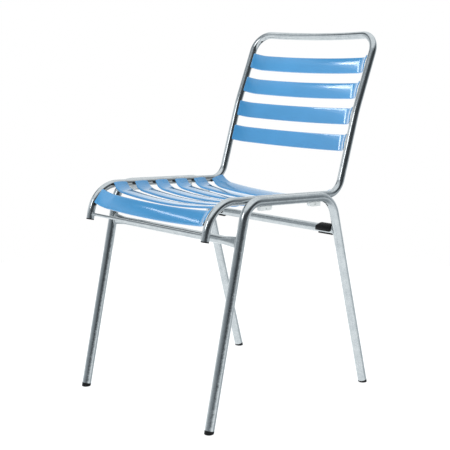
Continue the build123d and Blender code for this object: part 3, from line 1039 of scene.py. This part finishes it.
class SlatShape:
    """The middle line and the section of a slat, in its own plane: across the chair and out from the tube."""

    def __init__(self, layout):
        slats = layout.slats
        self.slats = slats
        steep = slats.flange_angle
        shallow = slats.dish_angle
        out = Vector((-sin(steep), cos(steep)))
        inward = Vector((-cos(steep), -sin(steep)))
        touch = Vector((layout.rail_x, 0)) + out * (layout.hoop_radius + layout.tubes.joint_gap)
        self.end = touch + out * slats.thickness / 2 + inward * slats.flange_setback
        self.inward = inward
        self.bend_centre = self.end + inward * slats.flange_length + out * slats.flange_bend_radius
        self.bend_length = slats.flange_bend_radius * (steep - shallow)
        dish_end = self.bend_centre + Vector((sin(shallow), -cos(shallow))) * slats.flange_bend_radius
        self.dish_radius = dish_end.x / sin(shallow)
        self.dish_top = dish_end.y + self.dish_radius * cos(shallow)
        self.half_length = slats.flange_length + self.bend_length + self.dish_radius * shallow

    def line(self, distance):
        """The middle line's point and slope at a distance from the slat's end."""
        slats = self.slats
        if distance < slats.flange_length:
            return self.end + self.inward * distance, slats.flange_angle
        distance -= slats.flange_length
        if distance < self.bend_length:
            slope = slats.flange_angle - distance / slats.flange_bend_radius
            return self.bend_centre + Vector((sin(slope), -cos(slope))) * slats.flange_bend_radius, slope
        slope = slats.dish_angle - (distance - self.bend_length) / self.dish_radius
        return Vector((sin(slope) * self.dish_radius, self.dish_top - cos(slope) * self.dish_radius)), slope

    def distances(self):
        """Places of the rings from a slat's end to its middle."""
        slats = self.slats
        corner_end = slats.end_rounding + slats.end_radius
        lip_end = slats.lip_setback + slats.lip_depth
        bend_end = slats.flange_length + self.bend_length
        rounding = [inset for _, inset in rounded_edge(slats.end_rounding, steps=4)]
        corner = evenly(slats.end_rounding, corner_end, steps=6)[1:]
        lip = evenly(slats.lip_setback, lip_end, steps=8)
        bend = evenly(slats.flange_length, bend_end, steps=24)
        dish = evenly(bend_end, self.half_length, steps=36)[1:]
        return sorted(set(rounding + corner + lip + bend + dish))

    def section(self, distance):
        """The outline at a distance from the slat's end: along the tube and out from the middle line."""
        slats = self.slats
        rounding = slats.end_rounding
        from_end = max(0, rounding - distance)
        inset = rounding - sqrt(rounding**2 - from_end**2)
        from_corner = max(0, slats.end_radius - distance)
        narrowing = slats.end_radius - sqrt(slats.end_radius**2 - from_corner**2)
        half_width = slats.width / 2 - max(inset, narrowing)
        top = slats.thickness / 2 - inset
        past_setback = clamped((distance - slats.lip_setback) / slats.lip_depth)
        lip = (slats.lip_depth - slats.thickness) * sqrt(past_setback * (2 - past_setback))
        lip = max(lip, LEAST_LIP)
        edge = slats.edge_radius - inset
        return slat_outline(half_width, top, lip, edge, slats.thickness - inset, slats.crown)


def arc(centre, radius, start, end, steps):
    """Points on an arc between two angles in degrees."""
    angles = [radians(angle) for angle in evenly(start, end, steps)]
    return [(centre[0] + radius * cos(angle), centre[1] + radius * sin(angle)) for angle in angles]


def slat_outline(half_width, half_thickness, lip, edge, lip_wall, crown):
    """A channel's closed outline: a crowned top with rounded edges and a lip turned down on either side."""
    side = 2 * half_thickness + lip - crown / 2
    edge = min(edge, LARGEST_EDGE_SHARE * side)
    foot = min(FOOT_SHARE_OF_WALL * lip_wall, FOOT_SHARE_OF_SIDE * (side - edge))
    inner_foot = min(foot, lip / 2)
    bottom = -half_thickness - lip
    inner = half_width - lip_wall
    inner_edge = inner - inner_foot
    outer_edge = half_width - edge

    def bowed(points):
        rises = [crown / 2 - crown * (along / half_width) ** 2 for along, _ in points]
        return [(along, max(out + rise, bottom)) for (along, out), rise in zip(points, rises)]

    top_edge = bowed(arc((outer_edge, half_thickness - edge), edge, 90, 0, steps=6))
    lip_foot = arc((half_width - foot, bottom + foot), foot, 0, -90, steps=4)
    lip_foot += arc((inner + inner_foot, bottom + inner_foot), inner_foot, -90, -180, steps=3)
    hollow = bowed(arc((inner_edge, -half_thickness - inner_foot), inner_foot, 0, 90, steps=3))
    right = top_edge + lip_foot + hollow
    left = [(-along, out) for along, out in reversed(right)]
    under = bowed([(along, -half_thickness) for along in evenly(inner_edge, -inner_edge, steps=10)[1:-1]])
    top = bowed([(along, half_thickness) for along in evenly(-outer_edge, outer_edge, steps=14)[1:-1]])
    return right + under + left + top


class Slats(bpy.types.Operator):
    """Build the dished slats of the seat and the back"""

    bl_idname = "garden_chair.slats"
    bl_label = "Slats"

    warp: millimetres(0.18, "Warp", "Slight unevenness of the moulded surface")
    warp_scale: amount(16, "Warp scale", "Waves of the unevenness in a metre")

    def execute(self, context):
        layout = Layout(context.scene)
        material = finished(context.scene, "glossy_slat")
        shape = SlatShape(layout)
        half = shape.distances()
        for node, plane in layout.slat_planes().items():
            rings = [self.ring(shape, plane, 1, distance) for distance in half]
            rings += [self.ring(shape, plane, -1, distance) for distance in half[-2::-1]]
            strip = settle(skin(node.replace("slat", "strip"), rings, material), "slat_blue", node)
            # The zinc mirrors the room but not the slats
            strip.visible_glossy = False
        return {"FINISHED"}

    def ring(self, shape, plane, side, distance):
        """One ring round a slat, on one side of the chair and at a distance from the slat's end."""
        axis_point, along = plane
        out = ACROSS.cross(along)
        centre, slope = shape.line(distance)
        warp = self.warp * min(1, distance / shape.slats.lip_setback)
        ring = []
        for across, thick in shape.section(distance):
            x = side * (centre.x - sin(slope) * thick)
            z = centre.y + cos(slope) * thick
            point = axis_point + ACROSS * x + out * z + along * across
            wave = warp * noise.noise(point * self.warp_scale)
            ring.append(point + out * wave)
        return ring


def repaint(node, material):
    """Give a node that stays shown its finish."""
    for place in frame["nodes"][node].material_slots:
        place.material = material


class Saddles(bpy.types.Operator):
    """Finish the black saddles under the slats' ends"""

    bl_idname = "garden_chair.saddles"
    bl_label = "Saddles"

    def execute(self, context):
        for node in ("seat_slat_saddles", "back_slat_saddles"):
            repaint(node, finished(context.scene, "black_moulding"))
        return {"FINISHED"}


def turned_piece(name, axis_start, axis, profile, material):
    """A round piece turned about an axis, from distances along it and radii."""
    side = axis.orthogonal().normalized()
    arms = circle(side, axis.cross(side), TUBE_SEGMENTS)
    rings = [[axis_start + axis * along + arm * radius for arm in arms] for along, radius in profile]
    return skin(name, rings, material)


class CapsAndGlides(bpy.types.Operator):
    """Build the caps on the nose ends and the glides under the feet"""

    bl_idname = "garden_chair.caps_and_glides"
    bl_label = "Nose caps and foot glides"

    spigot_depth: millimetres(14, "Spigot", "Depth of the spigots in the tubes")
    spigot_gap: millimetres(2.3, "Spigot gap", "Difference between a tube's outside and its spigot")
    recess: millimetres(0.6, "Recess", "Depth of the recess under a glide")
    recess_rim: millimetres(3.5, "Recess rim", "Width of the ring that a glide stands on")

    def execute(self, context):
        layout = Layout(context.scene)
        trim = context.scene.chair_trim
        material = finished(context.scene, "black_moulding")
        feet = {
            "front": (layout.front_leg(0), layout.tubes.front_leg_angle),
            "rear": (layout.rear_leg(0), -layout.tubes.rear_leg_angle),
        }
        for name, side in SIDES.items():
            nose = at_side(layout.nose_end(), side * layout.rail_x)
            cap = self.nose_cap(layout, trim, material, f"nose_cap_{name}", nose)
            settle(cap, "black_plastic", f"nose_plug_{name}")
            for end, (foot, lean) in feet.items():
                top = at_side(side_step(foot, lean, trim.glide_height - trim.seat_gap), side * layout.leg_x)
                rings = self.glide_rings(layout.leg_radius, trim, top, lean)
                glide = skin(f"glide_{end}_{name}", rings, material)
                settle(glide, "black_plastic", f"foot_glide_{end}_{name}")
        return {"FINISHED"}

    def nose_cap(self, layout, trim, material, name, nose):
        """One thin cap with a rounded edge and a spigot in the tube."""
        outward = side_step(Vector(), layout.tubes.nose_angle, -1)
        radius = layout.hoop_radius
        edge = trim.plug_crown
        profile = [(-self.spigot_depth, radius - self.spigot_gap), (0, radius - self.spigot_gap)]
        profile += [(0, radius - edge / 2), (edge / 4, radius - edge / 8), (edge / 2, radius)]
        for below, inset in rounded_edge(edge, EDGE_STEPS):
            profile.append((trim.plug_thickness - below, radius - inset))
        profile.append((trim.plug_thickness, radius / 2))
        return turned_piece(name, nose + outward * trim.seat_gap, outward, profile, material)

    def glide_rings(self, radius, trim, top, lean):
        """Rings of one glide: square to the leg on top, level at the floor, with a rounded rim."""
        upward = side_step(Vector(), lean, 1)
        base = top - upward * (top.z / upward.z)
        arms = circle(ACROSS, ACROSS.cross(upward), TUBE_SEGMENTS)

        def level_ring(height, inset):
            points = [base + arm * (radius - inset) for arm in arms]
            return [point + upward * ((height - point.z) / upward.z) for point in points]

        def square_ring(lift, inset):
            return [top + arm * (radius - inset) + upward * lift for arm in arms]

        rim = trim.glide_rim
        bevel = BEVEL_SHARE_OF_RIM * rim
        upper = square_ring(-bevel, 0)
        lower = level_ring(rim, 0)
        rings = [square_ring(self.spigot_depth, self.spigot_gap), square_ring(0, self.spigot_gap)]
        rings += [square_ring(0, bevel), upper]
        for fall in evenly(0, 1, WALL_STEPS)[1:-1]:
            rings.append([high.lerp(low, fall) for high, low in zip(upper, lower)])
        rings += [level_ring(height, inset) for height, inset in rounded_edge(rim, EDGE_STEPS)]
        rings.append(level_ring(0, self.recess_rim))
        rings.append(level_ring(self.recess, self.recess_rim + self.recess))
        return rings


class StackingBuffers(bpy.types.Operator):
    """Build the black buffers clipped round the rear crossbar"""

    bl_idname = "garden_chair.stacking_buffers"
    bl_label = "Stacking buffers"

    turn_steps: whole(48, "Steps", "Points round a buffer")

    def execute(self, context):
        layout = Layout(context.scene)
        trim = context.scene.chair_trim
        material = finished(context.scene, "black_moulding")
        middle = layout.rear_leg(layout.tubes.rear_bar_height)
        inner = layout.tubes.rear_bar_diameter / 2 + layout.tubes.joint_gap
        outer = inner + trim.buffer_thickness
        outer_x = layout.leg_x - layout.leg_radius - trim.buffer_leg_gap
        inner_x = outer_x - trim.buffer_length
        insets = rounded_edge(trim.buffer_rounding, steps=3)

        def outline(inset):
            first = -pi / 2 - trim.buffer_mouth + trim.buffer_opening / 2 + inset / outer
            last = 3 * pi / 2 - trim.buffer_mouth - trim.buffer_opening / 2 - inset / outer
            angles = evenly(first, last, self.turn_steps)
            outside = [side_step(Vector(), angle, outer - inset) for angle in angles]
            inside = [side_step(Vector(), angle, inner + inset) for angle in reversed(angles)]
            return outside + inside

        def start_x(point):
            return inner_x + max(0, point.z - (outer - trim.buffer_chamfer))

        for name, side in SIDES.items():
            rings = []
            for inward, inset in insets:
                points = outline(inward)
                rings.append([at_side(middle + point, side * (start_x(point) + inset)) for point in points])
            for inward, inset in reversed(insets):
                rings.append([at_side(middle + point, side * (outer_x - inset)) for point in outline(inward)])
            buffer = skin(f"buffer_{name}", rings, material, capped=False)
            self.close_ends(buffer, len(rings), 2 * (self.turn_steps + 1))
            settle(buffer, "black_plastic", f"stacking_buffer_{name}")
        return {"FINISHED"}

    def close_ends(self, buffer, ring_count, ring_size):
        """Close the two open ends with a row of faces each."""
        made = bmesh.new()
        made.from_mesh(buffer.data)
        made.verts.ensure_lookup_table()
        for start in (0, (ring_count - 1) * ring_size):
            for step in range(self.turn_steps):
                opposite = ring_size - 1 - step
                corners = (step, step + 1, opposite - 1, opposite)
                made.faces.new([made.verts[start + corner] for corner in corners])
        bmesh.ops.recalc_face_normals(made, faces=made.faces)
        made.to_mesh(buffer.data)
        made.free()
        buffer.data.set_sharp_from_angle(angle=CREASE_ANGLE)


class StackingPads(bpy.types.Operator):
    """Finish the grey pads under the leg frames"""

    bl_idname = "garden_chair.stacking_pads"
    bl_label = "Stacking pads"

    def execute(self, context):
        material = finished(context.scene, "grey_moulding")
        for end in ("front", "rear"):
            for name in SIDES:
                repaint(f"stacking_pad_{end}_{name}", material)
        return {"FINISHED"}


def camera_axes(stage):
    """The camera's right, up and backward directions."""
    azimuth = stage.camera_azimuth
    elevation = stage.camera_elevation
    back = Vector((sin(azimuth) * cos(elevation), -cos(azimuth) * cos(elevation), sin(elevation)))
    level = UP.cross(back).normalized()
    raised = back.cross(level)
    right = level * cos(stage.camera_roll) + raised * sin(stage.camera_roll)
    up = raised * cos(stage.camera_roll) - level * sin(stage.camera_roll)
    return right, up, back


class Stage(bpy.types.Operator):
    """Set up the floor, the room, the lamps and the camera"""

    bl_idname = "garden_chair.stage"
    bl_label = "Stage"

    def execute(self, context):
        scene = context.scene
        stage = scene.chair_stage
        scene.view_settings.view_transform = "Standard"
        self.floor(scene, stage)
        self.room(scene, stage)
        self.lights(scene, stage)
        self.camera(scene, stage)
        return {"FINISHED"}

    def floor(self, scene, stage):
        """A plain pale floor, lit from below."""
        mesh = bpy.data.meshes.new("floor")
        half = stage.floor_size / 2
        corners = [(-half, -half, 0), (half, -half, 0), (half, half, 0), (-half, half, 0)]
        mesh.from_pydata(corners, [], [(0, 1, 2, 3)])
        material, tree, shader = new_material("pale_floor")
        sockets = {
            "Base Color": (*stage.floor_colour, 1),
            "Roughness": 0.9,
            "Specular IOR Level": 0.0,
            "Emission Color": WHITE,
            "Emission Strength": stage.floor_glow,
        }
        plug_in(tree, shader, sockets)
        mesh.materials.append(material)
        floor = bpy.data.objects.new("floor", mesh)
        floor.visible_glossy = False
        scene.collection.objects.link(floor)

    def room(self, scene, stage):
        """A dark room with bright and dim sides, bluish where it is dim and white to the camera."""
        world = bpy.data.worlds.new("white_room")
        world.use_nodes = True
        scene.world = world
        tree = world.node_tree
        background = next(node for node in tree.nodes if node.type == "BACKGROUND")
        right, _, back = camera_axes(stage)
        lamp_wall = -right * 0.7 - back * 0.43 + UP * 0.65
        right_ground = right * 0.75 - back * 0.35 - UP * 0.75
        lobes = (
            Lobe(-right, start=0.0, full=1.0, brightness=stage.side_glow),
            Lobe(-back, start=-0.2, full=0.95, brightness=stage.backdrop_glow),
            Lobe(UP, start=0.52, full=0.8, brightness=stage.ceiling_glow),
            Lobe(lamp_wall, start=0.955, full=0.985, brightness=stage.lamp_shade),
            Lobe(-UP, start=0.05, full=0.25, brightness=stage.ground_glow),
            Lobe(right_ground, start=0.7, full=0.97, brightness=stage.right_shade),
        )
        place = add_node(tree, "ShaderNodeTexCoord").outputs["Generated"]
        shade = stage.room_shade
        for lobe in lobes:
            sockets = {0: place, 1: lobe.towards.normalized()}
            facing = add_node(tree, "ShaderNodeVectorMath", sockets, operation="DOT_PRODUCT").outputs["Value"]
            sockets = {"Value": facing, "From Min": lobe.start, "From Max": lobe.full}
            nearness = add_node(tree, "ShaderNodeMapRange", sockets).outputs["Result"]
            shade = mixed(tree, nearness, shade, lobe.brightness)
        seen = add_node(tree, "ShaderNodeLightPath").outputs["Is Camera Ray"]
        strength = mixed(tree, seen, shade, 1.0)
        tint = mixed(tree, strength, DIM_TINT, BRIGHT_TINT, data_type="RGBA")
        tint = mixed(tree, seen, tint, WHITE, data_type="RGBA")
        plug_in(tree, background, {"Color": tint, "Strength": strength})

    def lights(self, scene, stage):
        """A fill light by the camera, and lamps on its left that reach only some of the pieces."""
        right, _, back = camera_axes(stage)
        aim = UP * stage.lamp_aim
        tubes = self.lit_pieces(scene, "tubes", "tube")
        seat_tube = self.lit_pieces(scene, "seat_tube", "seat_back_tube")
        back_slats = self.lit_pieces(scene, "back_slats", "back_strip")
        front_slat = self.lit_pieces(scene, "front_slat", "seat_strip_1")
        key_place = aim - right * 1.75 + back * 1.8 + UP
        rail_place = aim - right * 2.0 + UP * 0.75
        fill_place = aim + back * 2.6 + UP * 0.3
        lamps = (
            Lamp("key_light", key_place, width=0.8, height=1.0, lit=tubes),
            Lamp("rail_light", rail_place, width=1.2, height=1.0, lit=seat_tube),
            Lamp("glow_light", Vector((-1.616, -0.753, 1.45)), width=0.2, height=1.0, lit=back_slats),
            Lamp("strip_light", Vector((-1.7, -0.48, 1.16)), width=0.4, height=1.62, lit=back_slats),
            Lamp("bar_light", Vector((-1.633, -0.694, 1.99)), width=0.2, height=0.035, lit=back_slats),
            Lamp("edge_light", Vector((-1.53, -0.71, 1.53)), width=0.08, height=0.44, lit=front_slat),
            Lamp("fill_light", fill_place, width=1.5, height=1.5, lit=None),
        )
        for lamp in lamps:
            light = bpy.data.lights.new(lamp.name, "AREA")
            light.shape = "RECTANGLE"
            light.size = lamp.width
            light.size_y = lamp.height
            light.energy = getattr(stage, lamp.name)
            placed = bpy.data.objects.new(lamp.name, light)
            placed.location = lamp.place
            placed.rotation_euler = (aim - lamp.place).to_track_quat("-Z", "Y").to_euler()
            placed.visible_glossy = lamp.lit is not None
            if lamp.lit:
                placed.light_linking.receiver_collection = lamp.lit
            scene.collection.objects.link(placed)

    def lit_pieces(self, scene, name, word):
        """A collection of the pieces with a word in their names, for a lamp to reach."""
        collection = bpy.data.collections.new(name)
        for piece in scene.objects:
            if word in piece.name:
                collection.objects.link(piece)
        return collection

    def camera(self, scene, stage):
        """The camera at the photograph's place."""
        right, up, back = camera_axes(stage)
        data = bpy.data.cameras.new("camera")
        data.sensor_width = SENSOR_WIDTH
        data.lens = stage.camera_lens
        camera = bpy.data.objects.new("camera", data)
        turned = Matrix((right, up, back)).transposed().to_4x4()
        camera.matrix_world = Matrix.Translation(stage.camera_place) @ turned
        scene.collection.objects.link(camera)
        scene.camera = camera


BUILD_STEPS = (
    SeatTube,
    LegFrames,
    Crossbars,
    WeldBeads,
    Slats,
    Saddles,
    CapsAndGlides,
    StackingBuffers,
    StackingPads,
    Stage,
)
SETTINGS = {
    "chair_tubes": ChairTubes,
    "chair_slats": ChairSlats,
    "chair_trim": ChairTrim,
    "chair_finish": ChairFinish,
    "chair_stage": ChairStage,
}


class ChairPanel(bpy.types.Panel):
    """The chair's pieces and settings in the sidebar"""

    bl_idname = "VIEW3D_PT_garden_chair"
    bl_label = "Garden chair"
    bl_space_type = "VIEW_3D"
    bl_region_type = "UI"
    bl_category = "Chair"

    def draw(self, context):
        for step in BUILD_STEPS:
            self.layout.operator(step.bl_idname)
        for name, group in SETTINGS.items():
            box = self.layout.box()
            box.label(text=group.__doc__)
            for setting in group.__annotations__:
                box.prop(getattr(context.scene, name), setting)


def register():
    """Add the settings, the operators and the panel to Blender."""
    for kind in (*SETTINGS.values(), *BUILD_STEPS, ChairPanel):
        bpy.utils.register_class(kind)
    for name, group in SETTINGS.items():
        setattr(bpy.types.Scene, name, bpy.props.PointerProperty(type=group))


def unregister():
    """Take the settings, the operators and the panel out of Blender."""
    for name in SETTINGS:
        delattr(bpy.types.Scene, name)
    for kind in reversed((*SETTINGS.values(), *BUILD_STEPS, ChairPanel)):
        bpy.utils.unregister_class(kind)


def main():
    """Build the chair and its stage."""
    register()
    bpy.ops.garden_chair.seat_tube()
    bpy.ops.garden_chair.leg_frames()
    bpy.ops.garden_chair.crossbars()
    bpy.ops.garden_chair.weld_beads()
    bpy.ops.garden_chair.slats()
    bpy.ops.garden_chair.saddles()
    bpy.ops.garden_chair.caps_and_glides()
    bpy.ops.garden_chair.stacking_buffers()
    bpy.ops.garden_chair.stacking_pads()
    bpy.ops.garden_chair.stage()


if __name__ == "__main__":
    main()
